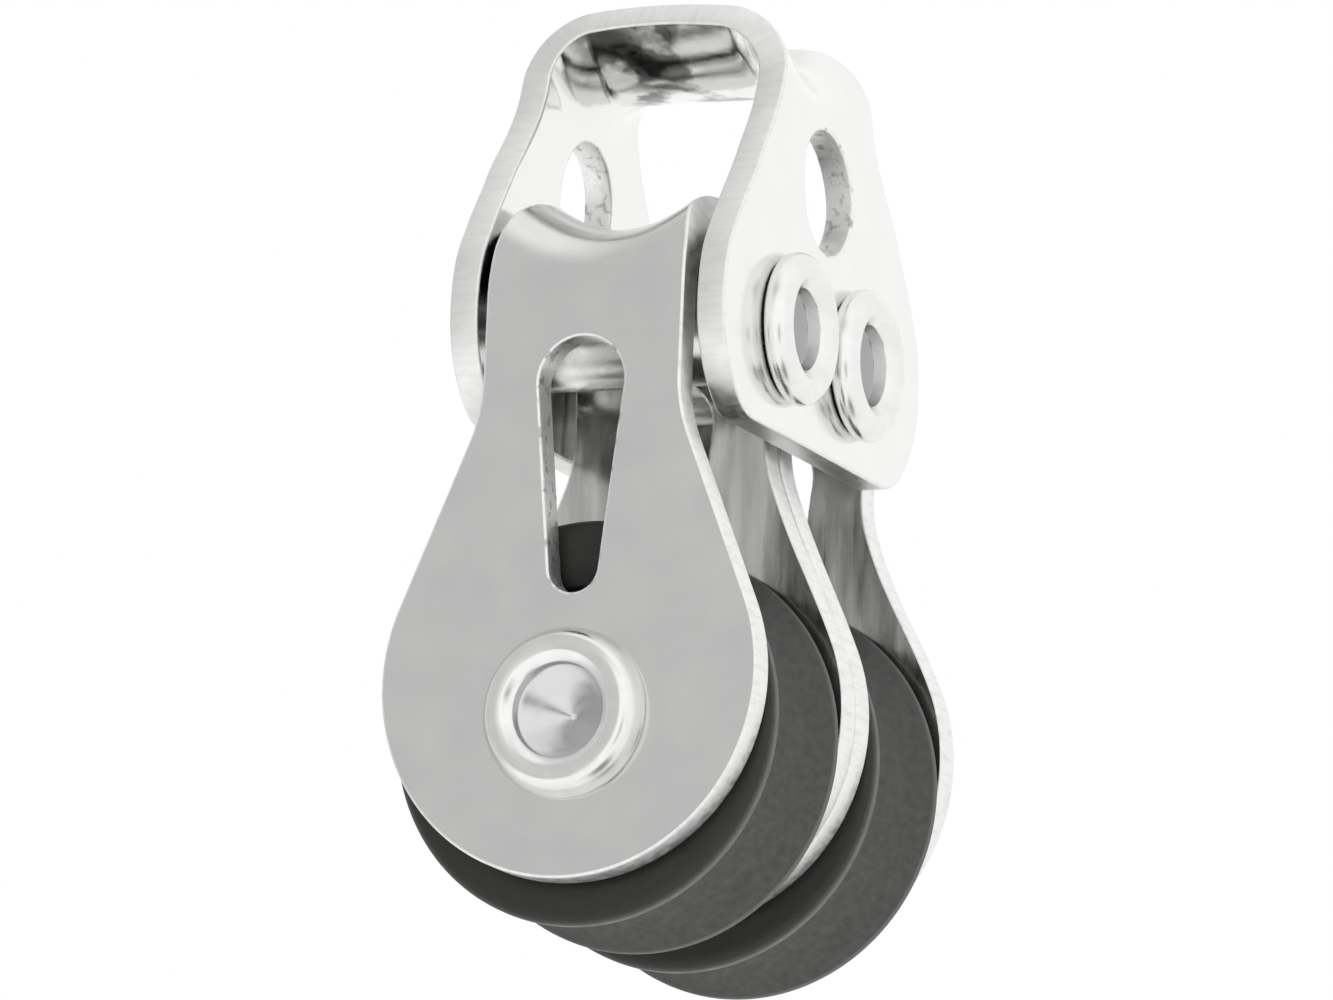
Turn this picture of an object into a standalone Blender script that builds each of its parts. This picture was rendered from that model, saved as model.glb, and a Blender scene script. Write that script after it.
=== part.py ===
"""Double sheave block: two folded cheek straps side by side under one bent head plate.

Frame: +Z up, the sheaves turn about Y, the head rivets lie along X. The origin is the
point where the load bears on the inside of the head's bridge, midway between the blocks.
"""
import math

import bmesh
import bpy
from mathutils import Vector

MM = 0.001

# Driving dimensions, in millimetres. Heights are measured up from the sheave axles.
AXLE_DROP = 24.8            # from the bridge's bearing surface down to the axles
PIECE_GAP = 0.12            # clearance kept between pieces that touch or press together

STRAP_THICK = 1.2
BLOCK_DEPTH = 9.46          # one strap, outside to outside
BLOCK_PITCH = BLOCK_DEPTH + PIECE_GAP
LOBE_RADIUS = 7.32
LOBE_RISE = 1.33            # lobe centre above the axle
NECK_HALF = 3.87
NECK_HEIGHT = 11.2          # where the tapered flanks meet the straight neck
FOLD_START = 15.2
FOLD_CORNER = 3.0           # outer radius of the fold's two shoulders
FOLD_TURN = math.radians(60)
SADDLE_LIFT = 1.42          # how far the fold's horns stand above its middle

SLOT_TOP_Z = 12.2
SLOT_TOP_RADIUS = 1.66
SLOT_LOW_Z = 5.4
SLOT_LOW_RADIUS = 0.95

HEAD_THICK = 1.1
HEAD_HALF_WIDTH = 5.4       # outside of the side plates
HEAD_TOP_HALF = 5.25        # outside half width just under the bridge
HEAD_CORNER = 2.6           # outer radius where the sides turn into the bridge
HEAD_BOTTOM = 11.25
HEAD_RIM_LIFT = 1.76        # how far the bridge's rims curl up above its middle
BRIDGE_HALF = 3.95          # half depth of the bridge
# One edge of a side plate, as (half depth, height), from its foot up to the bridge
BELL_SIDE = [(5.6, HEAD_BOTTOM), (6.5, 11.28), (7.2, 11.5), (7.85, 11.95), (8.5, 12.65), (9.0, 13.5),
             (9.27, 14.4), (9.33, 15.2), (9.2, 16.5), (8.92, 17.35), (8.4, 18.2), (7.84, 19.05),
             (7.05, 20.1), (6.45, 20.95), (5.7, 21.95), (5.15, 22.7), (4.7, 23.4), (4.3, 24.3),
             (4.1, 25.2), (BRIDGE_HALF, 27.0), (BRIDGE_HALF, 28.5)]
HEAD_HOLE_RADIUS = 2.3
HEAD_HOLE_Z = 21.0

RIVET_Z = 15.2
RIVET_SPACING = 6.37        # between the two head rivets, along Y

# A pin drilled at both ends, with each end's thin wall rolled out into a domed flange.
# Radii: shank, flange, crest of the dome, lip and bore. Heights above the sheet it clamps:
# curl is the flange's widest level, then the dome's height, the lip's chamfer and the
# level where the bore ends in its drill cone.
HEAD_RIVET = {"shank": 1.9, "flange": 2.82, "crest": 2.2, "lip": 1.93, "bore": 1.49,
              "curl": 0.36, "height": 0.95, "chamfer": 0.39, "floor": 0.06}
AXLE_PIN = {"shank": 2.3, "flange": 3.13, "crest": 2.5, "lip": 2.13, "bore": 1.76,
            "curl": 0.25, "height": 1.05, "chamfer": 0.3, "floor": 0.3}
DRILL_SLOPE = math.radians(35)   # cone left by the drill point

SHEAVE_RADIUS = 7.42        # over the groove's crests
SHEAVE_CREST = 2.95         # half distance between the groove's two crests
SHEAVE_HALF = 3.2
SHEAVE_SHOULDER = 6.5       # where the flat side faces turn out to the crests
GROOVE_DEPTH = 1.3
BEARING_PITCH = 4.1         # radius of the circle through the ball centres
BALL_RADIUS = 1.0
BALL_COUNT = 12
RACE_GROOVE = BALL_RADIUS + PIECE_GAP
RACE_OUTER = 3.3
RACE_BORE = AXLE_PIN["shank"] + PIECE_GAP
SHEAVE_BORE = 4.9

STEEL_COLOUR = (0.56, 0.56, 0.55)
POLISHED_COLOUR = (0.78, 0.78, 0.77)
SHEAVE_COLOUR = (0.035, 0.035, 0.033)


def clear_scene():
    for obj in list(bpy.data.objects):
        bpy.data.objects.remove(obj, do_unlink=True)


def material(name, colour, metallic, roughness):
    mat = bpy.data.materials.new(name)
    mat.use_nodes = True
    shader = mat.node_tree.nodes["Principled BSDF"]
    shader.inputs["Base Color"].default_value = (*colour, 1.0)
    shader.inputs["Metallic"].default_value = metallic
    shader.inputs["Roughness"].default_value = roughness
    return mat


def add_object(name, mesh, mat, place=(0.0, 0.0, 0.0), smooth=35):
    """Link a mesh whose own origin goes to `place`, in millimetres above the axle line."""
    obj = bpy.data.objects.new(name, mesh)
    bpy.context.scene.collection.objects.link(obj)
    x, y, z = place
    obj.location = Vector((x, y, z - AXLE_DROP)) * MM
    if mat is not None and not mesh.materials:
        mesh.materials.append(mat)
    mesh.shade_smooth()
    mesh.set_sharp_from_angle(angle=math.radians(smooth))
    return obj


def mesh_from(name, points, faces):
    """Closed mesh from points in millimetres, with its faces turned outwards."""
    mesh = bpy.data.meshes.new(name)
    mesh.from_pydata([Vector(p) * MM for p in points], [], faces)
    shape = bmesh.new()
    shape.from_mesh(mesh)
    bmesh.ops.recalc_face_normals(shape, faces=shape.faces)
    shape.to_mesh(mesh)
    shape.free()
    return mesh


def turned(name, profile, closed, steps, axis="Y"):
    """Lathe a profile of (radius, offset along the axis) points."""
    points, rings = [], []
    for radius, offset in profile:
        count = 1 if radius == 0 else steps
        rings.append(range(len(points), len(points) + count))
        for k in range(count):
            angle = 2 * math.pi * k / steps
            across, up = radius * math.cos(angle), radius * math.sin(angle)
            points.append((across, offset, up) if axis == "Y" else (offset, across, up))
    faces = []
    pairs = list(zip(rings, rings[1:]))
    if closed:
        pairs.append((rings[-1], rings[0]))
    for one, two in pairs:
        for k in range(steps):
            a, b = one[k % len(one)], one[(k + 1) % len(one)]
            c, d = two[(k + 1) % len(two)], two[k % len(two)]
            faces.append(list(dict.fromkeys((a, b, c, d))))
    return mesh_from(name, points, faces)


def prism(name, outline, low, high, axis):
    """Extrude an outline along X or Y. Its points are (Y, Z) or (X, Z)."""
    def place(point, depth):
        return (depth, point[0], point[1]) if axis == "X" else (point[0], depth, point[1])

    count = len(outline)
    points = [place(p, low) for p in outline] + [place(p, high) for p in outline]
    faces = [list(range(count)), list(range(2 * count - 1, count - 1, -1))]
    faces += [[k, (k + 1) % count, (k + 1) % count + count, k + count] for k in range(count)]
    return mesh_from(name, points, faces)


def swept(name, section, stations, place):
    """Closed solid that carries one section through its stations."""
    count = len(section)
    points = [place(station, point) for station in stations for point in section]
    faces = []
    for row in range(len(stations) - 1):
        for k in range(count):
            a, b = row * count + k, row * count + (k + 1) % count
            faces.append([a, b, b + count, a + count])
    faces.append(list(range(count)))
    last = (len(stations) - 1) * count
    faces.append(list(range(last + count - 1, last - 1, -1)))
    return mesh_from(name, points, faces)


def arc(centre, radius, start, end, steps):
    """Points on an arc, angles in degrees from the first axis towards the second."""
    turn = [math.radians(start + (end - start) * k / steps) for k in range(steps + 1)]
    return [(centre[0] + radius * math.cos(a), centre[1] + radius * math.sin(a)) for a in turn]


def smoothstep(low, high, value):
    share = min(max((value - low) / (high - low), 0.0), 1.0)
    return share * share * (3 - 2 * share)


def boolean(target, cutter, operation):
    cutter.hide_render = True
    cutter.display_type = "WIRE"
    step = target.modifiers.new(operation.lower() + "_" + cutter.name, "BOOLEAN")
    step.operation = operation
    step.solver = "EXACT"
    step.object = cutter


def cut(target, mesh, place=(0.0, 0.0, 0.0)):
    cutter = add_object("cutter_" + mesh.name, mesh, None, place)
    boolean(target, cutter, "DIFFERENCE")


# ---- cheek straps -------------------------------------------------------------------

def cheek_outline():
    """Round lobe, tapered flanks and straight neck, drawn past the fold."""
    centre = (0.0, LOBE_RISE)
    reach = math.hypot(NECK_HALF, NECK_HEIGHT - LOBE_RISE)
    aim = math.atan2(NECK_HEIGHT - LOBE_RISE, NECK_HALF)
    touch = math.degrees(aim - math.acos(LOBE_RADIUS / reach))
    lobe = arc(centre, LOBE_RADIUS, -180 - touch, touch, 33)
    flank_end = (NECK_HALF + 0.1, NECK_HEIGHT + 0.2)
    right = [flank_end, (NECK_HALF, NECK_HEIGHT + 1.2), (NECK_HALF, FOLD_START)]
    crown = [(NECK_HALF - 0.15, FOLD_START + 3.0), (NECK_HALF - 0.5, FOLD_START + 6.0)]
    upper = right + crown
    return lobe + upper + [(-x, z) for x, z in reversed(upper)]


def fold_profile():
    """Outer then inner side of the strap's U section, as (depth from mid-block, height)."""
    half = BLOCK_DEPTH / 2
    radius = (half - FOLD_CORNER * (1 - math.cos(FOLD_TURN))) / math.cos(FOLD_TURN)
    corner = (FOLD_CORNER - half, FOLD_START)
    crest = (0.0, FOLD_START - (radius - FOLD_CORNER) * math.sin(FOLD_TURN))
    turn = 180 - math.degrees(FOLD_TURN)

    def side(depth):
        shoulder = arc(corner, FOLD_CORNER - depth, 180, turn, 6)
        return shoulder + arc(crest, radius - depth, turn, 90, 5)[1:]

    return side(0.0), side(STRAP_THICK)


def strap_section():
    outer, inner = fold_profile()
    foot = -LOBE_RADIUS
    half = BLOCK_DEPTH / 2
    left = [(-half, foot)] + outer
    right = [(-y, z) for y, z in reversed(left[:-1])]
    back = [(half - STRAP_THICK, foot)] + [(-y, z) for y, z in inner[:-1]]
    front = list(reversed(inner)) + [(STRAP_THICK - half, foot)]
    return left + right + back + front


def saddle(x, z):
    rise = SADDLE_LIFT * min(abs(x) / NECK_HALF, 1.1) ** 2
    return rise * smoothstep(FOLD_START - 0.7, FOLD_START + 2.3, z)


def strap_mesh(name):
    section = strap_section()
    half = [0.7, 1.5, 2.3, 3.1, NECK_HALF + 0.25, LOBE_RADIUS + 1]
    stations = [-x for x in reversed(half)] + half
    return swept(name, section, stations, lambda x, p: (x, p[0], p[1] + saddle(x, p[1])))


def slot_outline():
    """Keyhole window: a wide round top, a narrow round foot and straight sides."""
    lean = math.degrees(math.asin((SLOT_TOP_RADIUS - SLOT_LOW_RADIUS) / (SLOT_TOP_Z - SLOT_LOW_Z)))
    top = arc((0, SLOT_TOP_Z), SLOT_TOP_RADIUS, -lean, 180 + lean, 11)
    low = arc((0, SLOT_LOW_Z), SLOT_LOW_RADIUS, 180 + lean, 360 - lean, 7)
    return top + low


def add_strap(side, y, mat):
    strap = add_object(side + "_strap", strap_mesh(side + "_strap"), mat, (0, y, 0))
    reach = BLOCK_DEPTH
    blank = add_object("blank_" + side, prism("blank", cheek_outline(), -reach, reach, "Y"), None, (0, y, 0))
    boolean(strap, blank, "INTERSECT")
    cut(strap, prism(side + "_slot", slot_outline(), -reach, reach, "Y"), (0, y, 0))
    hole = arc((0, 0), AXLE_PIN["shank"] + PIECE_GAP, 5, 365, 26)[:-1]
    cut(strap, prism(side + "_axle_hole", hole, -reach, reach, "Y"), (0, y, 0))
    return strap


# ---- head plate ---------------------------------------------------------------------

def head_section():
    """Inverted U in (X, Z), its bridge at mid-depth."""
    inner_top = AXLE_DROP
    outer_top = inner_top + HEAD_THICK

    def side(offset, top, radius):
        foot = [(HEAD_HALF_WIDTH - offset, HEAD_BOTTOM - 1), (HEAD_HALF_WIDTH - offset, 18.5)]
        waist = (HEAD_TOP_HALF - offset, top - radius)
        bend = arc((waist[0] - radius, waist[1]), radius, 0, 90, 8)
        return foot + bend + [(0.0, top)]

    outer = side(0.0, outer_top, HEAD_CORNER)
    inner = side(HEAD_THICK, inner_top, HEAD_CORNER - HEAD_THICK)
    outer_loop = outer + [(-x, z) for x, z in reversed(outer[:-1])]
    inner_loop = inner + [(-x, z) for x, z in reversed(inner[:-1])]
    return outer_loop + list(reversed(inner_loop))


def rim_lift(y, z):
    return HEAD_RIM_LIFT * min(abs(y) / BRIDGE_HALF, 1.15) ** 2 * smoothstep(21.5, 23.8, z)


def add_head(mat):
    section = head_section()
    half = [0.9, 1.8, 2.6, 3.4, 4.4, BLOCK_DEPTH + 1]
    stations = [-y for y in reversed(half)] + [0.0] + half
    mesh = swept("head_plate", section, stations, lambda y, p: (p[0], y, p[1] + rim_lift(y, p[1])))
    head = add_object("head_plate", mesh, mat)
    reach = HEAD_HALF_WIDTH + 2
    bell = BELL_SIDE + [(-y, z) for y, z in reversed(BELL_SIDE)]
    blank = add_object("blank_head", prism("blank_head", bell, -reach, reach, "X"), None)
    boolean(head, blank, "INTERSECT")
    window = arc((0, HEAD_HOLE_Z), HEAD_HOLE_RADIUS, 0, 360, 32)[:-1]
    cut(head, prism("side_hole", window, -reach, reach, "X"))
    for side, y in (("front", -RIVET_SPACING / 2), ("rear", RIVET_SPACING / 2)):
        hole = arc((y, RIVET_Z), HEAD_RIVET["shank"] + PIECE_GAP, 0, 360, 32)[:-1]
        cut(head, prism(side + "_rivet_hole", hole, -reach, reach, "X"))
    return head


# ---- turned and rolled pieces -------------------------------------------------------

def riveted_end(pin, sheet):
    """One end as (radius, offset): drill cone, bore, lip, domed flange, then the shank."""
    face = sheet + PIECE_GAP / 2
    floor, top, widest = face + pin["floor"], face + pin["height"], face + pin["curl"]
    apex = floor - pin["bore"] * math.tan(DRILL_SLOPE)
    end = [(0.0, apex), (pin["bore"], floor), (pin["bore"], top - pin["chamfer"]), (pin["lip"], top)]
    reach, rise = pin["flange"] - pin["crest"], pin["height"] - pin["curl"]
    dome = arc((0, 0), 1.0, 90, 0, 4)
    end += [(pin["crest"] + reach * across, widest + rise * up) for across, up in dome]
    curl = arc((pin["flange"] - pin["curl"], widest), pin["curl"], 0, -90, 3)
    return end + curl[1:] + [(pin["shank"], face)]


def add_pin(name, pin, sheet, steps, axis, steel, place=(0.0, 0.0, 0.0)):
    """Pin riveted over the two outer faces of what it clamps, at `sheet` either side."""
    end = riveted_end(pin, sheet)
    profile = [(radius, -offset) for radius, offset in end] + list(reversed(end))
    add_object(name, turned(name, profile, False, steps, axis), steel, place)


def ball_groove(radius, outwards):
    """Arc of the ball track that opens through a cylinder of the given radius."""
    half = math.degrees(math.acos(abs(radius - BEARING_PITCH) / RACE_GROOVE))
    middle = 90 if outwards else 270
    track = arc((0, BEARING_PITCH), RACE_GROOVE, middle - half, middle + half, 5)
    return [(r, offset) for offset, r in track]


def add_bearing(side, y, steel):
    half = BLOCK_DEPTH / 2 - STRAP_THICK - PIECE_GAP
    race = [(RACE_BORE, half), (RACE_BORE, -half), (RACE_OUTER, -half)]
    race += ball_groove(RACE_OUTER, False) + [(RACE_OUTER, half)]
    name = side + "_inner_race"
    add_object(name, turned(name, race, True, 28), steel, (0, y, 0))
    for number in range(BALL_COUNT):
        angle = 2 * math.pi * number / BALL_COUNT
        name = f"{side}_ball_{number + 1:02d}"
        mesh = bpy.data.meshes.new(name)
        shape = bmesh.new()
        bmesh.ops.create_icosphere(shape, subdivisions=2, radius=BALL_RADIUS * MM)
        shape.to_mesh(mesh)
        shape.free()
        place = (BEARING_PITCH * math.cos(angle), y, BEARING_PITCH * math.sin(angle))
        add_object(name, mesh, steel, place, smooth=80)


def add_sheave(side, y, plastic):
    radius = (SHEAVE_CREST ** 2 + GROOVE_DEPTH ** 2) / (2 * GROOVE_DEPTH)
    spread = math.degrees(math.asin(SHEAVE_CREST / radius))
    rope_way = arc((0, SHEAVE_RADIUS - GROOVE_DEPTH + radius), radius, 270 - spread, 270 + spread, 8)
    shoulder = [(SHEAVE_SHOULDER, SHEAVE_HALF), (SHEAVE_RADIUS - 0.25, SHEAVE_HALF - 0.08)]
    profile = [(SHEAVE_BORE, SHEAVE_HALF)] + ball_groove(SHEAVE_BORE, True)
    profile += [(SHEAVE_BORE, -SHEAVE_HALF)] + [(r, -offset) for r, offset in shoulder]
    profile += [(r, offset) for offset, r in rope_way] + list(reversed(shoulder))
    name = side + "_sheave"
    add_object(name, turned(name, profile, True, 40), plastic, (0, y, 0))


def main():
    clear_scene()
    satin = material("satin_steel", STEEL_COLOUR, 1.0, 0.38)
    polished = material("polished_steel", POLISHED_COLOUR, 1.0, 0.16)
    plastic = material("black_acetal", SHEAVE_COLOUR, 0.0, 0.55)
    add_head(polished)
    add_pin("axle_pin", AXLE_PIN, (BLOCK_PITCH + BLOCK_DEPTH) / 2, 36, "Y", polished)
    for side, sign in (("front", -1), ("rear", 1)):
        block_y = sign * BLOCK_PITCH / 2
        rivet_place = (0, sign * RIVET_SPACING / 2, RIVET_Z)
        add_strap(side, block_y, satin)
        add_pin(side + "_head_rivet", HEAD_RIVET, HEAD_HALF_WIDTH, 32, "X", polished, rivet_place)
        add_bearing(side, block_y, polished)
        add_sheave(side, block_y, plastic)


main()
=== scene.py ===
"""Looks of the double sheave block: finished sheet metal, rivets, sheaves and a plain studio.

The CAD frame fixes every place. Here each node gets a finely made piece in its stead, with
rounded edges and a procedural finish. Lengths are in millimetres until a mesh is written,
and heights are measured up from the sheave axle.
"""
import math

import bmesh
import bpy
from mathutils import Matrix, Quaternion, Vector
from mathutils.geometry import tessellate_polygon


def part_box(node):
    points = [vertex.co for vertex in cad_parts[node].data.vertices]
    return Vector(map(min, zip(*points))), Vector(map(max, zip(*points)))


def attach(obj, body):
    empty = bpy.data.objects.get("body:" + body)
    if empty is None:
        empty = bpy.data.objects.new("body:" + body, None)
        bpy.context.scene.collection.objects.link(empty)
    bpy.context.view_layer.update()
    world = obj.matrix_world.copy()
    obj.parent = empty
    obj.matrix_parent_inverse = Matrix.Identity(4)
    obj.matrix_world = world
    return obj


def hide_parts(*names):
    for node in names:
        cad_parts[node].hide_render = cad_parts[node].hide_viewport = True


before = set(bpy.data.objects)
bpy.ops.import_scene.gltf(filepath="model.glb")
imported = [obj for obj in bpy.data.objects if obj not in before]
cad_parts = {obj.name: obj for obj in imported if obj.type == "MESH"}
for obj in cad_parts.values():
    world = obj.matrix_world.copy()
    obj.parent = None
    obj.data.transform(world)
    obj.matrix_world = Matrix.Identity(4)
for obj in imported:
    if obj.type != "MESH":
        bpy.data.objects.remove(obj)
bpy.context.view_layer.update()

MM = 0.001
SIDES = ("front", "rear")


def centre_of(node):
    low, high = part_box(node)
    return (low + high) / 2 / MM


AXLE_DROP = -centre_of("axle_pin").z    # from the frame's origin down to the axle

# Folded cheek straps
STRAP_THICK = 1.2
STRAP_HALF = 4.73           # half depth of one strap
STRAP_CLEAR = 0.06          # from the middle plane of the block to an inner cheek
LOBE_RADIUS = 7.32
LOBE_RISE = 1.33            # centre of the round lobe
NECK_HALF = 3.87
NECK_HEIGHT = 11.2          # where the straight flank and the neck would meet unrounded
NECK_FILLET = 6.0
HOLLOW_SPAN = (4.0, 14.0)   # heights between which a flank may be hollow
LEG_HOLLOWS = {"front": (0.0, 0.25), "rear": (0.2, 0.43)}   # depth on the front and rear cheek
FOLD_BASE = 14.0            # below this the cheeks are flat
FOLD_START = 15.2           # foot of the fold's two rounded corners
FOLD_CORNER = 3.0
FOLD_TURN = math.radians(60)
FOLD_WIDE_TO = 16.2         # from here up the fold narrows
FOLD_NARROWS = 0.14         # half width lost for each millimetre of height
FOLD_EDGE_SHARES = (0.2, 0.35, 0.5, 0.65, 0.8, 0.92)
SADDLE_LIFT = 1.42          # rise of the fold's edges over its middle
SADDLE_SPAN = (14.5, 17.5)  # heights over which the rise comes in
SLOT_TOP = (12.2, 1.66)     # height and radius of the keyhole's round top
SLOT_LOW = (5.4, 0.95)      # the same for its round foot
AXLE_HOLE = 2.38

# Bent head plate
HEAD_THICK = 1.1
HEAD_HALF_WIDTH = 5.4       # half width over the side plates, at their feet
HEAD_TOP_HALF = 5.25        # the same just under the bridge's corners
HEAD_LEAN_TOP = 23.3        # the side plates lean out between these two heights
HEAD_LEAN_FOOT = 20.5
HEAD_FOOT = 11.25
HEAD_CORNER = 2.6
BRIDGE_HALF = 3.95
RIM_LIFT = 1.79             # rise of the bridge's rims over its middle
RIM_FALL = 0.013            # share of the rise lost for each unit of x squared
RIM_LEVELS = 1.6            # half widths of the bridge at which the rise levels off
RIM_SPAN = (21.5, 23.8)     # heights over which the rise comes in
SIDE_HOLE = (21.0, 2.3)     # height and radius
RIVET_HOLE = 1.96

# Drilled and rolled pins. The first five are radii: shank, widest place of the flange,
# highest ring of its dome, lip of the mouth, and bore. Curl is the radius of the roll under
# the flange, chamfer the depth of the mouth's slope, height and floor (of the bore) are
# counted from the flange's seat, and fullness shapes the dome.
HEAD_RIVET = {"shank": 1.9, "flange": 2.82, "crest": 2.2, "lip": 1.93, "bore": 1.49,
              "curl": 0.36, "height": 0.95, "chamfer": 0.39, "floor": 0.06, "fullness": 1.0}
AXLE_PIN = {"shank": 2.3, "flange": 3.13, "crest": 2.5, "lip": 2.13, "bore": 1.76,
            "curl": 0.15, "height": 1.05, "chamfer": 0.3, "floor": 0.3, "fullness": 1.5}
DRILL_SLOPE = math.radians(35)
SEAT_GAP = 0.02             # left under a rolled flange

# Sheaves and bearings
SHEAVE_RADIUS = 7.42
SHEAVE_CREST = 2.97         # half width over the two crests
SHEAVE_LAND = 0.3           # width of a crest beside the groove
SHEAVE_HALF = 3.2
SHEAVE_SHOULDER = 6.5       # radius at which the side face starts to fall away
GROOVE_DEPTH = 1.25
CREST_ROUND = 0.07
BEARING_PITCH = 4.1         # radius of the circle of ball centres
RACE_GROOVE = 1.12          # radius of the ball tracks
RACE_OUTER = 3.3
RACE_BORE = 2.42
RACE_HALF = 3.41
SHEAVE_BORE = 4.9
BORE_CHAMFER = 0.15
RACE_CHAMFER = 0.12
BALL_RADIUS = 1.0

EDGE_ROUND = 0.1            # broken edges of the sheet metal
EDGE_STEPS = 4

FLOOR_HEIGHT = -0.45        # metres, as are the camera's and the lights' places
FLOOR_HALF = 4.0

# Camera, from the direction it looks in
CAMERA_AZIMUTH = math.radians(23.388)
CAMERA_ELEVATION = math.radians(-11.527)
CAMERA_ROLL = math.radians(2.5)
CAMERA_AIM = (0.001387, -0.004497, -0.016013)
CAMERA_DISTANCE = 0.56
CAMERA_LENS = 417.6


# ---- small geometry helpers ---------------------------------------------------------

def arc(centre, radius, start, end, steps):
    turn = [math.radians(start + (end - start) * k / steps) for k in range(steps + 1)]
    return [(centre[0] + radius * math.cos(a), centre[1] + radius * math.sin(a)) for a in turn]


def share_between(low, high, value):
    return min(max((value - low) / (high - low), 0.0), 1.0)


def smoothstep(low, high, value):
    share = share_between(low, high, value)
    return share * share * (3 - 2 * share)


def smooth_through(points, steps):
    """Catmull-Rom curve through the points, ends included."""
    ends = [points[0]] + points + [points[-1]]
    curve = []
    for a, b, c, d in zip(ends, ends[1:], ends[2:], ends[3:]):
        for k in range(steps):
            t = k / steps
            curve.append(tuple(
                0.5 * (2 * q + (r - p) * t + (2 * p - 5 * q + 4 * r - s) * t ** 2
                       + (3 * q - p - 3 * r + s) * t ** 3)
                for p, q, r, s in zip(a, b, c, d)))
    return curve + [points[-1]]


def turned_way(loop, clockwise):
    area = sum(a[0] * b[1] - b[0] * a[1] for a, b in zip(loop, loop[1:] + loop[:1]))
    return list(loop) if (area < 0) == clockwise else list(reversed(loop))


def inset_loop(loop, inset):
    """Move a closed loop to its left, into the sheet."""
    least_reach = 0.4       # keeps sharp corners from moving too far
    moved = []
    for k, here in enumerate(loop):
        here = Vector(here)
        one = (here - Vector(loop[k - 1])).normalized()
        two = (Vector(loop[(k + 1) % len(loop)]) - here).normalized()
        left = Vector((-one.y - two.y, one.x + two.x)).normalized()
        reach = max(left.dot(Vector((-one.y, one.x))), least_reach)
        moved.append(here + left * (inset / reach))
    return moved


def new_object(name, mesh, place=(0.0, 0.0, 0.0)):
    obj = bpy.data.objects.new(name, mesh)
    bpy.context.scene.collection.objects.link(obj)
    obj.location = Vector(place) * MM
    return obj


def finish_mesh(shape, name):
    bmesh.ops.recalc_face_normals(shape, faces=shape.faces)
    mesh = bpy.data.meshes.new(name)
    shape.to_mesh(mesh)
    shape.free()
    return mesh


# ---- sheet metal --------------------------------------------------------------------

def edge_profile(thick):
    """Round from the outer face over the cut edge to the inner face, as (inset, level)."""
    half = thick / 2
    turn = [math.pi / 2 * k / EDGE_STEPS for k in range(EDGE_STEPS + 1)]
    top = [(EDGE_ROUND * (1 - math.sin(a)), half - EDGE_ROUND * (1 - math.cos(a))) for a in turn]
    return top + [(inset, -level) for inset, level in reversed(top)]


def flat_blank(outline, holes, thick):
    """Flat sheet with broken edges.

    Materials: 0 outer face, 1 cut outline, 2 inner face, 3 walls of the holes.
    """
    shape = bmesh.new()
    along_edge = shape.loops.layers.uv.new("along_edge")
    loops = [turned_way(outline, False)] + [turned_way(hole, True) for hole in holes]
    profile = edge_profile(thick)
    faces_of_sheet = ([], [])
    for loop in loops:
        rings = []
        for inset, level in profile:
            rings.append([shape.verts.new((p.x, p.y, level)) for p in inset_loop(loop, inset)])
        runs = [0.0]
        for a, b in zip(loop, loop[1:] + loop[:1]):
            runs.append(runs[-1] + math.dist(a, b))
        for upper, lower in zip(rings, rings[1:]):
            for k in range(len(loop)):
                n = (k + 1) % len(loop)
                band = shape.faces.new((upper[k], upper[n], lower[n], lower[k]))
                band.material_index = 1 if loop is loops[0] else 3
                for corner, run in zip(band.loops, (runs[k], runs[k + 1], runs[k + 1], runs[k])):
                    corner[along_edge].uv = (run, corner.vert.co.z)
        for side, ring in zip(faces_of_sheet, (rings[0], rings[-1])):
            side.append(ring)
            for a, b in zip(ring, ring[1:] + ring[:1]):
                shape.edges.get((a, b)).smooth = False
    for rings, slot in zip(faces_of_sheet, (0, 2)):
        verts = [v for ring in rings for v in ring]
        for trio in tessellate_polygon([[v.co for v in ring] for ring in rings]):
            if len(set(trio)) == 3:
                shape.faces.new([verts[k] for k in trio]).material_index = slot
    return shape


def slice_blank(shape, slices):
    """Slice the flat sheet across and lengthwise, each to a reach and at a pitch, to bend it."""
    for (reach, pitch), normal in zip(slices, (Vector((0, 1, 0)), Vector((1, 0, 0)))):
        for value in steps_between(-reach, reach, pitch):
            everything = shape.verts[:] + shape.edges[:] + shape.faces[:]
            bmesh.ops.bisect_plane(
                shape, geom=everything, dist=1e-5, plane_co=normal * value, plane_no=normal)


def formed_sheet(name, shape, bend, place):
    for vert in shape.verts:
        vert.co = Vector(bend(*vert.co)) * MM
    for face in shape.faces:
        face.smooth = True
    return new_object(name, finish_mesh(shape, name), place)


def raised(surface, u, v, level):
    """Point at a height above a surface, along its own normal."""
    step = 0.01
    across = surface(u + step, v) - surface(u - step, v)
    along = surface(u, v + step) - surface(u, v - step)
    return surface(u, v) + across.cross(along).normalized() * level


def steps_between(low, high, pitch):
    count = max(1, round((high - low) / pitch))
    return [low + (high - low) * k / count for k in range(count + 1)]


class Curve:
    """A dense polyline that can be read at a share of its length."""

    def __init__(self, points):
        self.points = [Vector(p) for p in points]
        self.runs = [0.0]
        for a, b in zip(self.points, self.points[1:]):
            self.runs.append(self.runs[-1] + (b - a).length)
        self.length = self.runs[-1]

    def at(self, share):
        run = min(max(share, 0.0), 1.0) * self.length
        k = 1
        while k < len(self.runs) - 1 and self.runs[k] < run:
            k += 1
        span = self.runs[k] - self.runs[k - 1]
        part = (run - self.runs[k - 1]) / span
        return self.points[k - 1].lerp(self.points[k], part)


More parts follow.
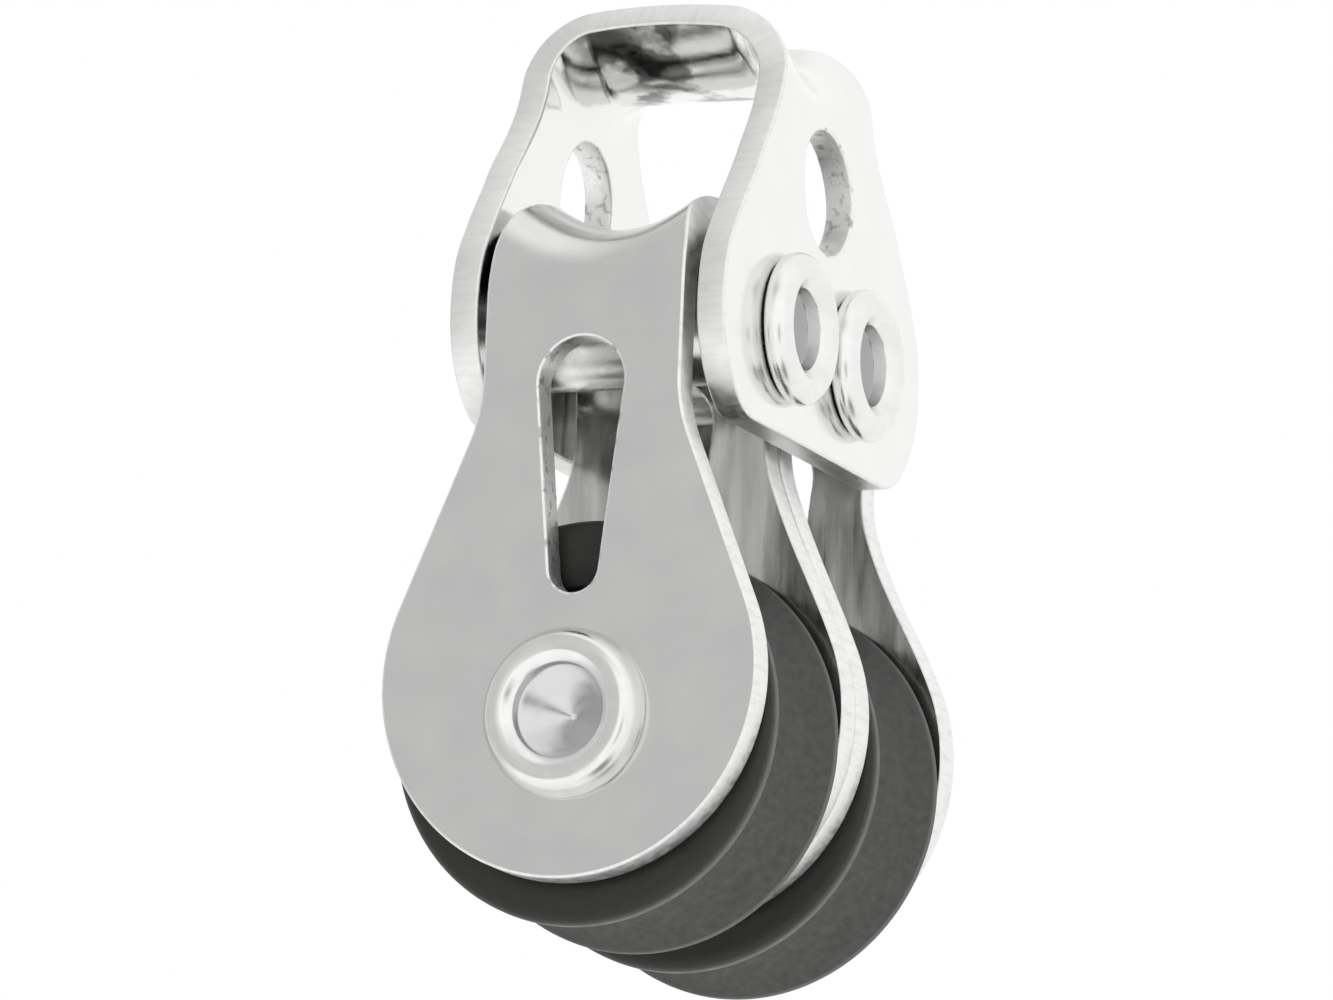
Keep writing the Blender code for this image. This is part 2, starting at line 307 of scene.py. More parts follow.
def fold_curve():
    """Middle of the sheet over the front half of the fold, from its base to its crest."""
    turn = 180 - math.degrees(FOLD_TURN)
    radius = (STRAP_HALF - FOLD_CORNER * (1 - math.cos(FOLD_TURN))) / math.cos(FOLD_TURN)
    depth = STRAP_THICK / 2
    shoulder = arc((FOLD_CORNER - STRAP_HALF, FOLD_START), FOLD_CORNER - depth, 180, turn, 40)
    crest = (0.0, FOLD_START - (radius - FOLD_CORNER) * math.sin(FOLD_TURN))
    crown = arc(crest, radius - depth, turn, 90, 40)
    return Curve([(depth - STRAP_HALF, FOLD_BASE)] + shoulder + crown[1:])


FOLD = fold_curve()
FOLD_RUN = FOLD.length
STRAP_SLICES = ((FOLD_RUN - 0.3, 0.14), (3.6, 0.3))     # reach and pitch, across and lengthwise


def saddle(x, z):
    """Rise of the fold towards its two edges."""
    rise = SADDLE_LIFT * (x / NECK_HALF) ** 2
    return rise * smoothstep(*SADDLE_SPAN, z)


def strap_surface(u, v):
    """Middle surface of the folded strap."""
    if abs(v) < FOLD_RUN:
        y, z = FOLD.at(1 - abs(v) / FOLD_RUN)
        return Vector((u, y if v < 0 else -y, z + saddle(u, z)))
    y = STRAP_HALF - STRAP_THICK / 2
    return Vector((u, -y if v < 0 else y, FOLD_BASE + FOLD_RUN - abs(v)))


def bend_strap(u, v, level):
    return raised(strap_surface, u, v, level)


def strap_run(z, sign):
    """Place along the flat strap of a height on its front (-1) or rear (1) cheek."""
    return sign * (FOLD_RUN + FOLD_BASE - z)


def cheek_side(hollow):
    """Right side of a cheek from the lobe's foot to the fold's base, as (x, z)."""
    reach = math.hypot(NECK_HALF, NECK_HEIGHT - LOBE_RISE)
    aim = math.atan2(NECK_HEIGHT - LOBE_RISE, NECK_HALF)
    touch = aim - math.acos(LOBE_RADIUS / reach)
    lobe = arc((0.0, LOBE_RISE), LOBE_RADIUS, -90, math.degrees(touch), 64)
    back = NECK_FILLET * math.tan(touch / 2)
    centre = (NECK_HALF + NECK_FILLET, NECK_HEIGHT + back)
    neck = arc(centre, NECK_FILLET, 180 + math.degrees(touch), 180, 12)
    flank = [Vector(lobe[-1]).lerp(Vector(neck[0]), k / 16) for k in range(1, 16)]
    side = lobe + flank + neck + [(NECK_HALF, FOLD_BASE)]
    return [(x - hollow * math.sin(math.pi * share_between(*HOLLOW_SPAN, z)) ** 2, z)
            for x, z in side]


def keyhole():
    """Outline of the slot in a cheek, as (x, z)."""
    lean = math.degrees(math.asin((SLOT_TOP[1] - SLOT_LOW[1]) / (SLOT_TOP[0] - SLOT_LOW[0])))
    top = arc((0, SLOT_TOP[0]), SLOT_TOP[1], -lean, 180 + lean, 32)
    return top + arc((0, SLOT_LOW[0]), SLOT_LOW[1], 180 + lean, 360 - lean, 20)


def strap_blank(hollows):
    """Flat strap with its slots and axle holes; u runs across it and v from front to rear."""
    front, rear = [[(x, strap_run(z, sign)) for x, z in cheek_side(hollow)]
                   for sign, hollow in zip((-1, 1), hollows)]
    fold = []
    for share in FOLD_EDGE_SHARES:
        half = NECK_HALF - FOLD_NARROWS * max(FOLD.at(share).y - FOLD_WIDE_TO, 0.0)
        fold.append((half, FOLD_RUN * (share - 1)))
    right = front + fold + [(x, -v) for x, v in reversed(fold)] + list(reversed(rear))
    outline = right + [(-x, v) for x, v in reversed(right[1:-1])]
    holes = []
    for sign in (-1, 1):
        holes.append([(x, strap_run(z, sign)) for x, z in keyhole()])
        holes.append([(x, strap_run(z, sign)) for x, z in arc((0, 0), AXLE_HOLE, 0, 360, 64)[:-1]])
    shape = flat_blank(outline, holes, STRAP_THICK)
    slice_blank(shape, STRAP_SLICES)
    return shape


def add_strap(side, materials):
    blank = strap_blank(LEG_HOLLOWS[side])
    place = (0, centre_of(side + "_strap").y, -AXLE_DROP)
    strap = formed_sheet(side + "_cheek_strap", blank, bend_strap, place)
    return dress(strap, "block_frame", materials, side + "_strap")


# ---- head plate ---------------------------------------------------------------------

MID_CORNER = HEAD_CORNER - HEAD_THICK / 2
BRIDGE_RUN = HEAD_TOP_HALF - HEAD_CORNER
CORNER_RUN = BRIDGE_RUN + MID_CORNER * math.pi / 2
LEAN_RUN = CORNER_RUN + HEAD_LEAN_TOP - HEAD_LEAN_FOOT
BRIDGE_TOP = HEAD_LEAN_TOP + HEAD_CORNER    # outer face of the bridge at its middle
HEAD_SLICES = ((LEAN_RUN, 0.16), (5.4, 0.2))            # reach and pitch, across and lengthwise


def head_section(run):
    """Point (x, z) on the middle of the plate's section, a run away from the bridge's middle."""
    if run < BRIDGE_RUN:
        return run, BRIDGE_TOP - HEAD_THICK / 2
    if run < CORNER_RUN:
        turn = math.pi / 2 - (run - BRIDGE_RUN) / MID_CORNER
        return BRIDGE_RUN + MID_CORNER * math.cos(turn), HEAD_LEAN_TOP + MID_CORNER * math.sin(turn)
    z = HEAD_LEAN_TOP - (run - CORNER_RUN)
    spread = smoothstep(HEAD_LEAN_TOP, HEAD_LEAN_FOOT, z)
    return HEAD_TOP_HALF + (HEAD_HALF_WIDTH - HEAD_TOP_HALF) * spread - HEAD_THICK / 2, z


def rim_lift(x, y, z):
    """Rise of the bridge's two rims, most at mid-width and fading into the side plates."""
    reach = abs(y) / BRIDGE_HALF
    rise = reach ** 2 / (1 + (reach / RIM_LEVELS) ** 6) ** (1 / 3)
    return RIM_LIFT * rise * (1 - RIM_FALL * x * x) * smoothstep(*RIM_SPAN, z)


def head_surface(u, v):
    """Middle surface of the bent plate."""
    x, z = head_section(abs(v))
    return Vector((x if v > 0 else -x, u, z + rim_lift(x, u, z)))


def bend_head(u, v, level):
    return raised(head_surface, u, v, -level)


def head_run(y, z):
    """Run along the section at which the middle surface reaches (y, z), found by halving."""
    low, high = 0.0, LEAN_RUN + HEAD_LEAN_FOOT
    for _ in range(40):
        middle = (low + high) / 2
        x, height = head_section(middle)
        if height + rim_lift(x, y, height) > z:
            low = middle
        else:
            high = middle
    return low


def bell_side():
    """The side plate's right edge from its foot up past the rim, as (y, z)."""
    foot = [(5.6, HEAD_FOOT), (6.5, 11.28), (7.2, 11.5), (7.85, 11.95), (8.5, 12.65), (9.0, 13.5)]
    hips = [(9.27, 14.4), (9.33, 15.2), (9.3, 15.8), (9.2, 16.5), (8.92, 17.35), (8.4, 18.2)]
    flank = [(7.84, 19.05), (7.05, 20.1), (6.45, 20.95), (5.7, 21.95), (5.15, 22.7), (4.7, 23.4)]
    crown = [(4.3, 24.3), (4.1, 25.2), (BRIDGE_HALF, 27.0), (BRIDGE_HALF, 28.5)]
    return [(0.0, HEAD_FOOT)] + smooth_through(foot + hips + flank + crown, 6)


def head_blank():
    """Flat head plate with its round windows and rivet holes; v runs over the bridge."""
    bridge_middle = BRIDGE_TOP - HEAD_THICK / 2
    crown = bridge_middle + rim_lift(0.0, BRIDGE_HALF, bridge_middle)
    side = [(y, head_run(y, z)) for y, z in bell_side() if z < crown]
    side = [p for p in side if p[1] > BRIDGE_RUN]
    side.append((side[-1][0], 0.0))
    right = side + [(y, -run) for y, run in reversed(side[:-1])]
    outline = right[1:-1] + [(-y, run) for y, run in reversed(right[1:-1])]
    holes = []
    for sign in (-1, 1):
        window = arc((0.0, SIDE_HOLE[0]), SIDE_HOLE[1], 0, 360, 56)[:-1]
        holes.append([(y, sign * head_run(y, z)) for y, z in window])
        for side_name in SIDES:
            middle = centre_of(side_name + "_head_rivet")
            ring = arc((middle.y, middle.z + AXLE_DROP), RIVET_HOLE, 0, 360, 48)[:-1]
            holes.append([(y, sign * head_run(y, z)) for y, z in ring])
    shape = flat_blank(outline, holes, HEAD_THICK)
    slice_blank(shape, HEAD_SLICES)
    return shape


def add_head(materials):
    head = formed_sheet("bent_head_plate", head_blank(), bend_head, (0, 0, -AXLE_DROP))
    return dress(head, "block_frame", materials, "head_plate")


# ---- turned pieces ------------------------------------------------------------------

def lathe(name, profile, closed, steps, axis, place, sharp=38):
    """Turn (radius, offset) points round Y or X, with the piece's middle at `place`."""
    shape = bmesh.new()
    rings = []
    for radius, offset in profile:
        ring = []
        for k in range(1 if radius == 0 else steps):
            turn = 2 * math.pi * k / steps
            across, up = radius * math.cos(turn), radius * math.sin(turn)
            point = (across, offset, up) if axis == "Y" else (offset, across, up)
            ring.append(shape.verts.new(Vector(point) * MM))
        rings.append(ring)
    pairs = list(zip(rings, rings[1:]))
    if closed:
        pairs.append((rings[-1], rings[0]))
    for one, two in pairs:
        for k in range(steps):
            corners = (one[k % len(one)], one[(k + 1) % len(one)],
                       two[(k + 1) % len(two)], two[k % len(two)])
            face = shape.faces.new(list(dict.fromkeys(corners)))
            face.smooth = True
    mesh = finish_mesh(shape, name)
    mesh.set_sharp_from_angle(angle=math.radians(sharp))
    return new_object(name, mesh, place)


def riveted_end(pin, sheet):
    """One end as (radius, offset): drill cone, bore, lip, domed flange, then the shank.

    Offsets of a few hundredths ease the corners.
    """
    face = sheet + SEAT_GAP
    floor, top, widest = face + pin["floor"], face + pin["height"], face + pin["curl"]
    bore, lip, crest = pin["bore"], pin["lip"], pin["crest"]
    slope = math.tan(DRILL_SLOPE)
    cone = [(bore * k / 12, floor - bore * slope * (1 - k / 12)) for k in range(12)]
    cone += [(bore - 0.07, floor - 0.035), (bore - 0.03, floor)]
    mouth_low = top - pin["chamfer"]
    mouth = [(bore, floor + 0.04), (bore, mouth_low - 0.03), (bore + 0.02, mouth_low)]
    rounded = [(lip - 0.03, top - 0.025), (lip + 0.03, top)]
    reach, rise = pin["flange"] - crest, pin["height"] - pin["curl"]
    dome = [(crest + reach * across, widest + rise * up ** pin["fullness"])
            for across, up in arc((0, 0), 1, 90, 0, 18)]
    curl = arc((pin["flange"] - pin["curl"], widest), pin["curl"], 0, -90, 12)[1:]
    return cone + mouth + rounded + dome + curl + [(pin["shank"], face)]


def add_pin(name, node, pin, sheet, axis, material):
    """Pin with both ends rolled over a sheet's outer face, `sheet` away from its middle."""
    end = riveted_end(pin, sheet)
    profile = [(radius, -offset) for radius, offset in end] + list(reversed(end))
    obj = lathe(name, profile, False, 128, axis, centre_of(node), sharp=48)
    return dress(obj, "block_frame", [material], node)


def ball_track(radius, outwards):
    """Arc of the ball track that opens through a cylinder of the given radius."""
    half = math.degrees(math.acos(abs(radius - BEARING_PITCH) / RACE_GROOVE))
    middle = 90 if outwards else 270
    track = arc((0, BEARING_PITCH), RACE_GROOVE, middle - half, middle + half, 16)
    return [(r, offset) for offset, r in track]


def sheave_profile():
    """Bore with its ball track, side faces, rounded crests and the rope groove."""
    half = SHEAVE_CREST - SHEAVE_LAND
    radius = (half ** 2 + GROOVE_DEPTH ** 2) / (2 * GROOVE_DEPTH)
    spread = math.degrees(math.asin(half / radius))
    middle = SHEAVE_RADIUS - GROOVE_DEPTH + radius
    groove = [(r, offset) for offset, r in arc((0, middle), radius, 270 - spread, 270 + spread, 36)]
    crest_middle = (SHEAVE_CREST - CREST_ROUND, SHEAVE_RADIUS - CREST_ROUND)
    crest = [(r, offset) for offset, r in arc(crest_middle, CREST_ROUND, 20, 90, 5)]
    shoulder = [(SHEAVE_SHOULDER, SHEAVE_HALF), (6.95, 3.17), (7.2, 3.1), crest[0]]
    rim = smooth_through(shoulder, 6)[:-1] + crest
    bore_end, bore_rim = SHEAVE_HALF - BORE_CHAMFER, SHEAVE_BORE + BORE_CHAMFER
    track = ball_track(SHEAVE_BORE, True)
    bore = [(SHEAVE_BORE, bore_end)] + track + [(SHEAVE_BORE, -bore_end)]
    near = [(bore_rim, -SHEAVE_HALF)] + [(r, -offset) for r, offset in rim]
    return bore + near + groove + list(reversed(rim)) + [(bore_rim, SHEAVE_HALF)]


def add_sheave(side, material):
    node = side + "_sheave"
    obj = lathe(side + "_grooved_sheave", sheave_profile(), True, 144, "Y", centre_of(node), sharp=60)
    return dress(obj, node, [material], node)


def add_race(side, material):
    node = side + "_inner_race"
    end, inner, outer = RACE_HALF - RACE_CHAMFER, RACE_BORE + RACE_CHAMFER, RACE_OUTER - RACE_CHAMFER
    near = [(RACE_BORE, end), (RACE_BORE, -end), (inner, -RACE_HALF), (outer, -RACE_HALF)]
    track = [(RACE_OUTER, -end)] + ball_track(RACE_OUTER, False) + [(RACE_OUTER, end)]
    far = [(outer, RACE_HALF), (inner, RACE_HALF)]
    obj = lathe(side + "_ground_race", near + track + far, True, 96, "Y", centre_of(node))
    return dress(obj, "block_frame", [material], node)


def add_balls(side, material):
    balls = [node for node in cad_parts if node.startswith(side + "_ball_")]
    for node in sorted(balls):
        shape = bmesh.new()
        bmesh.ops.create_icosphere(shape, subdivisions=4, radius=BALL_RADIUS * MM)
        for face in shape.faces:
            face.smooth = True
        obj = new_object(node.replace("ball", "bearing_ball"), finish_mesh(shape, node), centre_of(node))
        dress(obj, side + "_ball_set", [material], node)


def dress(obj, body, materials, node):
    for material in materials:
        obj.data.materials.append(material)
    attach(obj, body)
    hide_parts(node)
    return obj


# ---- materials ----------------------------------------------------------------------

class Nodes:
    """A node tree and short ways to add to it."""

    def __init__(self, tree):
        self.tree = tree

    def node(self, kind, **values):
        node = self.tree.nodes.new(kind)
        for key, value in values.items():
            setattr(node, key, value)
        return node

    def link(self, one, two):
        self.tree.links.new(one, two)

    def maths(self, operation, *values):
        node = self.node("ShaderNodeMath", operation=operation)
        for value, socket in zip(values, node.inputs):
            self.link(value, socket)
        return node.outputs["Value"]

    def mapped(self, value, low, high, start=0.3, end=0.7, curve="LINEAR"):
        """Turn values from start to end into low to high, and hold the ends beyond."""
        node = self.node("ShaderNodeMapRange", interpolation_type=curve)
        node.inputs["From Min"].default_value = start
        node.inputs["From Max"].default_value = end
        node.inputs["To Min"].default_value = low
        node.inputs["To Max"].default_value = high
        self.link(value, node.inputs["Value"])
        return node.outputs["Result"]


class Finish(Nodes):
    """A Principled material and the few nodes that its patterns are made of."""

    def __init__(self, name, metallic):
        self.material = bpy.data.materials.new(name)
        self.material.use_nodes = True
        super().__init__(self.material.node_tree)
        self.shader = self.tree.nodes["Principled BSDF"]
        self.shader.inputs["Metallic"].default_value = metallic
        self.normal = None

    def millimetres(self, stretch=(1.0, 1.0, 1.0)):
        """Object coordinates in millimetres, each axis times its stretch."""
        where = self.node("ShaderNodeTexCoord")
        mapping = self.node("ShaderNodeMapping")
        mapping.inputs["Scale"].default_value = [s / MM for s in stretch]
        self.link(where.outputs["Object"], mapping.inputs["Vector"])
        return mapping.outputs["Vector"]

    def reach(self, axes):
        """Distance from the piece's middle in millimetres, counted along some axes only."""
        split = self.node("ShaderNodeSeparateXYZ")
        self.link(self.millimetres(), split.inputs["Vector"])
        join = self.node("ShaderNodeCombineXYZ")
        for axis in axes:
            self.link(split.outputs[axis], join.inputs[axis])
        length = self.node("ShaderNodeVectorMath", operation="LENGTH")
        self.link(join.outputs["Vector"], length.inputs[0])
        return length.outputs["Value"]

    def along_edge(self, stretch):
        """Run along a cut edge and level across it, in millimetres times the stretch."""
        where = self.node("ShaderNodeUVMap", uv_map="along_edge")
        mapping = self.node("ShaderNodeMapping")
        mapping.inputs["Scale"].default_value = stretch
        self.link(where.outputs["UV"], mapping.inputs["Vector"])
        return mapping.outputs["Vector"]

    def noise(self, scale, detail=3.0, stretch=(1.0, 1.0, 1.0), where=None):
        noise = self.node("ShaderNodeTexNoise")
        noise.inputs["Scale"].default_value = scale
        noise.inputs["Detail"].default_value = detail
        self.link(where or self.millimetres(stretch), noise.inputs["Vector"])
        return noise.outputs["Fac"]

    def roughness(self, value, low, high):
        self.link(self.mapped(value, low, high), self.shader.inputs["Roughness"])

    def colours(self, value, one, two, start=0.3, end=0.7):
        mix = self.node("ShaderNodeMix", data_type="RGBA")
        self.link(self.mapped(value, 0.0, 1.0, start, end), mix.inputs["Factor"])
        mix.inputs["A"].default_value = (*one, 1.0)
        mix.inputs["B"].default_value = (*two, 1.0)
        self.link(mix.outputs["Result"], self.shader.inputs["Base Color"])

    def tint(self, share, colour):
        """Lay a colour over the patterns made before it, by a share from 0 to 1."""
        below = self.shader.inputs["Base Color"].links[0].from_socket
        mix = self.node("ShaderNodeMix", data_type="RGBA")
        self.link(share, mix.inputs["Factor"])
        self.link(below, mix.inputs["A"])
        mix.inputs["B"].default_value = (*colour, 1.0)
        self.link(mix.outputs["Result"], self.shader.inputs["Base Color"])

    def bump(self, value, depth, strength=1.0):
        """Relief of `depth` millimetres, laid over any bump made before it."""
        bump = self.node("ShaderNodeBump")
        bump.inputs["Distance"].default_value = depth * MM
        bump.inputs["Strength"].default_value = strength
        self.link(value, bump.inputs["Height"])
        if self.normal is not None:
            self.link(self.normal, bump.inputs["Normal"])
        self.normal = bump.outputs["Normal"]
        self.link(self.normal, self.shader.inputs["Normal"])


def satin_sheet():
    """Rolled and lightly tumbled stainless sheet, with a faint grain along the strap."""
    finish = Finish("satin_stainless_sheet", 1.0)
    finish.colours(finish.noise(0.5, 4.0), (0.70, 0.70, 0.695), (0.75, 0.75, 0.742))
    finish.roughness(finish.noise(1.3, 5.0), 0.17, 0.25)
    finish.bump(finish.noise(9.0, 2.0, (1.0, 1.0, 0.12)), 0.004, 0.25)
    finish.bump(finish.noise(16.0, 3.0), 0.003, 0.2)
    return finish.material


def strap_lining():
    """Glossier inner face of the straps with press waves in its relief; its darker, streaky colour along
    the strap is painted shade and painted reflection.
    """
    finish = Finish("shaded_strap_lining", 1.0)
    # Painted shade and painted reflection: dark and light streaks along the strap on the inner face.
    finish.colours(finish.noise(0.9, 5.0, (1.0, 1.0, 0.15)), (0.34, 0.34, 0.33), (0.72, 0.72, 0.71))
    finish.roughness(finish.noise(2.0, 4.0, (1.0, 1.0, 0.2)), 0.1, 0.22)
    finish.bump(finish.noise(0.6, 2.0, (1.0, 1.0, 0.12)), 0.12, 0.5)
    finish.bump(finish.noise(14.0, 3.0, (1.0, 1.0, 0.1)), 0.004, 0.3)
    return finish.material


def paint_shade_under_bridge(finish):
    """Painted shade on the inner face: dark patches under the bridge, fading out short of the side
    plates.
    """
    patches = finish.mapped(finish.noise(0.42, 7.0), 0.0, 1.0, 0.47, 0.55)
    within = finish.mapped(finish.reach("X"), 0.9, 0.0, 2.6, 3.6)
    finish.tint(finish.maths("MULTIPLY", patches, within), (0.13, 0.13, 0.125))


def polished_sheet(name, waves, shade_under_bridge):
    """Bright polished stainless sheet with soft waves left by the press."""
    finish = Finish(name, 1.0)
    finish.colours(finish.noise(0.6, 4.0), (0.85, 0.85, 0.84), (0.87, 0.87, 0.86))
    finish.roughness(finish.noise(1.1, 5.0), 0.09, 0.17)
    finish.bump(finish.noise(1.0, 2.0), waves, 0.3)
    finish.bump(finish.noise(14.0, 3.0), 0.003, 0.2)
    # Painted shade: dark patches under the bridge, on the inner face only.
    if shade_under_bridge:
        paint_shade_under_bridge(finish)
    return finish.material


def sheared_edge(name, pale, dark, torn):
    """Cut edge of a sheet: fine shear marks across it and, where torn, dark specks."""
    finish = Finish(name, 1.0)
    stretch = (4.5 - 2.5 * torn, 0.7 + 1.5 * torn, 1.0)
    marks = finish.noise(1.0, 4.0, where=finish.along_edge(stretch))
    finish.colours(marks, dark, pale, 0.35, 0.35 + 0.2 / (1 + torn))
    finish.roughness(finish.noise(3.0, 4.0), 0.38, 0.55)
    finish.bump(marks, 0.01, 0.2)
    finish.bump(finish.noise(3.0 + 4.0 * torn, 4.0), 0.02 + 0.04 * torn, 0.3)
    return finish.material


def paint_recess_shade(finish, axes, bore, shade):
    """Painted shade: the drilled ends are darkened inside the bore's radius, where shade falls in the
    recess.
    """
    inside = finish.mapped(finish.reach(axes), 1.0, 0.0, bore - 0.02, bore + 0.03)
    finish.tint(inside, (shade, shade, shade))


def rolled_steel():
    """Tumbled stainless of the rolled flanges."""
    finish = Finish("rolled_stainless", 1.0)
    finish.colours(finish.noise(1.2, 4.0), (0.80, 0.80, 0.79), (0.86, 0.86, 0.85))
    finish.roughness(finish.noise(1.8, 5.0), 0.2, 0.3)
    finish.bump(finish.noise(2.0, 2.0), 0.004, 0.25)
    finish.bump(finish.noise(16.0, 3.0), 0.001, 0.3)
    # Painted shade in the rivets' bores and drill cones.
    paint_recess_shade(finish, "YZ", HEAD_RIVET["bore"], 0.38)
    return finish.material


def turned_steel():
    """Turned axle: fine rings round its axis that draw reflections out into fans."""
    finish = Finish("turned_stainless", 1.0)
    finish.shader.inputs["Anisotropic"].default_value = 0.65
    tangent = finish.node("ShaderNodeTangent", direction_type="RADIAL", axis="Y")
    finish.link(tangent.outputs["Tangent"], finish.shader.inputs["Tangent"])
    finish.colours(finish.noise(1.4, 4.0), (0.78, 0.78, 0.77), (0.84, 0.84, 0.83))
    finish.roughness(finish.noise(2.5, 5.0), 0.18, 0.27)
    finish.bump(finish.noise(2.5, 3.0), 0.008, 0.25)
    # Painted shade in the axle's bore and drill cone.
    paint_recess_shade(finish, "XZ", AXLE_PIN["bore"], 0.66)
    return finish.material


def bearing_steel():
    """Ground steel of the races and balls."""
    finish = Finish("ground_bearing_steel", 1.0)
    finish.colours(finish.noise(1.5, 3.0), (0.72, 0.72, 0.73), (0.78, 0.78, 0.79))
    finish.roughness(finish.noise(3.0, 4.0), 0.09, 0.17)
    finish.bump(finish.noise(20.0, 2.0), 0.001, 0.2)
    return finish.material


def acetal():
    """Black acetal: a grained grooved rim, side faces darkened by painted shade and crests lightened by
    a painted highlight.
    """
    finish = Finish("black_acetal", 0.0)
    finish.shader.inputs["Specular IOR Level"].default_value = 0.35
    finish.colours(finish.noise(3.0, 5.0), (0.032, 0.033, 0.031), (0.047, 0.048, 0.045))
    # Painted shade: the side faces beyond the crests are darkened, as where the cheeks shade them.
    side_face_shade = finish.mapped(finish.reach("Y"), 0.0, 1.0, SHEAVE_CREST, SHEAVE_CREST + 0.09)
    finish.tint(side_face_shade, (0.014, 0.014, 0.013))
    # Painted highlight: a paler ring along the rounded crests.
    crest = finish.mapped(finish.reach("XZ"), 0.0, 1.0, SHEAVE_RADIUS - 0.05, SHEAVE_RADIUS - 0.01)
    finish.tint(crest, (0.075, 0.075, 0.072))
    finish.roughness(finish.noise(2.0, 4.0), 0.42, 0.58)
    finish.bump(finish.noise(7.0, 4.0), 0.02, 0.3)
    finish.bump(finish.noise(22.0, 2.0), 0.006, 0.3)
    return finish.material


# ---- studio -------------------------------------------------------------------------

# Soft-edged panels round the block: direction, half width, half height, softness, brightness.
# Directions run from the block; widths and heights are sines of the half angles.
PANELS = (
    ((-0.7, -0.55, 0.45), 0.68, 0.7, 0.16, 0.67),    # dim wall that the front cheek mirrors
    ((0.7, -0.67, -0.21), 0.12, 0.13, 0.1, 0.15),    # small dark patch to the right of the camera
    ((0.47, -0.13, -0.83), 0.2, 0.2, 0.12, 0.1),     # dark patch low at the right
)
ROOM_FRONT = 1.15           # brightness of the room towards -Y, the camera's side
ROOM_BACK = 1.04


def add_world():
    """White room, lit a little more from the front, with the panels laid over it in order."""
    world = bpy.data.worlds.new("studio")
    bpy.context.scene.world = world
    world.use_nodes = True
    world.node_tree.nodes.clear()
    nodes = Nodes(world.node_tree)
    where = nodes.node("ShaderNodeTexCoord")

    def along(direction):
        """How far a ray's own direction goes along this one."""
        product = nodes.node("ShaderNodeVectorMath", operation="DOT_PRODUCT")
        nodes.link(where.outputs["Generated"], product.inputs[0])
        product.inputs[1].default_value = direction
        return product.outputs["Value"]

    def soft(value, low, high, start, end):
        return nodes.mapped(value, low, high, start, end, "SMOOTHSTEP")

    def band(direction, half, softness):
        return soft(nodes.maths("ABSOLUTE", along(direction)), 1, 0, half - softness, half + softness)

    def background(strength):
        made = nodes.node("ShaderNodeBackground")
        made.inputs["Color"].default_value = (1.0, 1.0, 1.0, 1.0)
        made.inputs["Strength"].default_value = strength
        return made

    light = soft(along((0, 1, 0)), ROOM_FRONT, ROOM_BACK, -0.6, 0.3)
    for direction, half_width, half_height, softness, brightness in PANELS:
        facing = Vector(direction).normalized()
        across = facing.cross(Vector((0, 0, 1))).normalized()
        upwards = across.cross(facing).normalized()
        shape = nodes.maths("MULTIPLY", band(across, half_width, softness),
                            band(upwards, half_height, softness))
        in_front = soft(along(facing), 0, 1, 0.0, 0.2)
        mix = nodes.node("ShaderNodeMix", data_type="FLOAT")
        nodes.link(nodes.maths("MULTIPLY", shape, in_front), mix.inputs["Factor"])
        nodes.link(light, mix.inputs["A"])
        mix.inputs["B"].default_value = brightness
        light = mix.outputs["Result"]
    studio, backdrop = background(1.0), background(1.0)
    nodes.link(light, studio.inputs["Strength"])
    seen = nodes.node("ShaderNodeLightPath")
    choose = nodes.node("ShaderNodeMixShader")
    nodes.link(seen.outputs["Is Camera Ray"], choose.inputs["Fac"])
    nodes.link(studio.outputs["Background"], choose.inputs[1])
    nodes.link(backdrop.outputs["Background"], choose.inputs[2])
    output = nodes.node("ShaderNodeOutputWorld")
    nodes.link(choose.outputs["Shader"], output.inputs["Surface"])


def add_light(name, place, aim, size, power):
    data = bpy.data.lights.new(name, "AREA")
    data.shape = "SQUARE"
    data.size = size
    data.energy = power
    obj = bpy.data.objects.new(name, data)
    bpy.context.scene.collection.objects.link(obj)
    obj.location = place
    obj.rotation_mode = "QUATERNION"
    obj.rotation_quaternion = (Vector(aim) - Vector(place)).to_track_quat("-Z", "Y")
    obj.visible_camera = False
    obj.visible_glossy = False


def add_floor():
    shape = bmesh.new()
    bmesh.ops.create_grid(shape, x_segments=1, y_segments=1, size=FLOOR_HALF)
    floor = new_object("floor", finish_mesh(shape, "floor"))
    floor.location.z = FLOOR_HEIGHT
    finish = Finish("pale_floor", 0.0)
    finish.shader.inputs["Roughness"].default_value = 0.8
    finish.colours(finish.noise(0.01, 3.0), (0.94, 0.94, 0.94), (0.96, 0.96, 0.96))
    floor.data.materials.append(finish.material)
    floor.visible_glossy = False


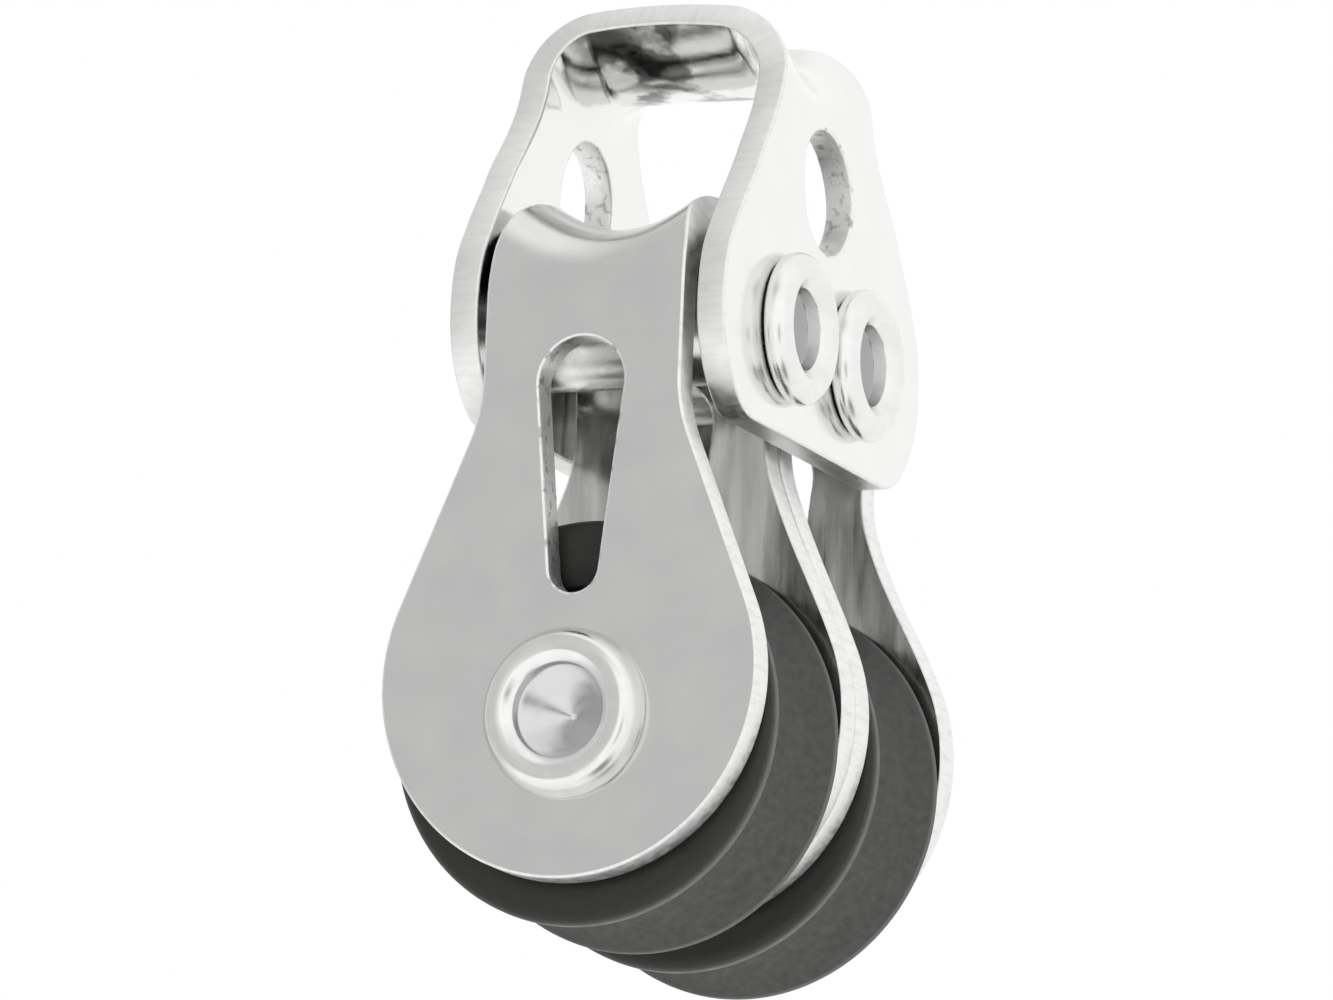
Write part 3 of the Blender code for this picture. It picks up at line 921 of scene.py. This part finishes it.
def add_camera():
    data = bpy.data.cameras.new("camera")
    data.lens = CAMERA_LENS
    data.sensor_width = 36.0
    data.clip_start = 0.01
    data.clip_end = 20.0
    camera = bpy.data.objects.new("camera", data)
    bpy.context.scene.collection.objects.link(camera)
    level = math.cos(CAMERA_ELEVATION)
    look = Vector((-math.sin(CAMERA_AZIMUTH) * level,
                   math.cos(CAMERA_AZIMUTH) * level,
                   -math.sin(CAMERA_ELEVATION)))
    camera.location = Vector(CAMERA_AIM) - look * CAMERA_DISTANCE
    camera.rotation_mode = "QUATERNION"
    turn = look.to_track_quat("-Z", "Y")
    camera.rotation_quaternion = turn @ Quaternion((0, 0, 1), CAMERA_ROLL)
    bpy.context.scene.camera = camera


# ---- build --------------------------------------------------------------------------

add_camera()
add_world()
add_light("top_softbox", (-0.2, -0.15, 0.7), (0, 0, -0.01), 0.5, 2.0)
add_light("low_softbox", (0.3, -0.45, -0.4), (0, 0, -0.02), 0.4, 5.0)
add_floor()
bpy.context.scene.view_settings.view_transform = "Standard"

strap_edge = sheared_edge("sheared_strap_edge", (0.88, 0.88, 0.87), (0.80, 0.80, 0.79), 0.2)
head_edge = sheared_edge("sheared_head_edge", (0.86, 0.86, 0.85), (0.81, 0.81, 0.80), 0.0)
torn_edge = sheared_edge("torn_hole_wall", (0.88, 0.88, 0.87), (0.5, 0.5, 0.49), 1.0)
satin = satin_sheet()
lining = strap_lining()
rolled_finish = rolled_steel()
bearing = bearing_steel()
plastic = acetal()
head_outer = polished_sheet("polished_outer_sheet", 0.006, False)
# The inner face gets painted shade under the bridge.
head_inner = polished_sheet("pressed_inner_sheet", 0.04, True)
add_head([head_outer, head_edge, head_inner, torn_edge])
add_pin("riveted_axle_pin", "axle_pin", AXLE_PIN, 2 * STRAP_HALF + STRAP_CLEAR,
        "Y", turned_steel())
for side_name in SIDES:
    add_strap(side_name, [satin, strap_edge, lining, torn_edge])
    add_pin(side_name + "_rolled_rivet", side_name + "_head_rivet", HEAD_RIVET, HEAD_HALF_WIDTH,
            "X", rolled_finish)
    add_sheave(side_name, plastic)
    add_race(side_name, bearing)
    add_balls(side_name, bearing)
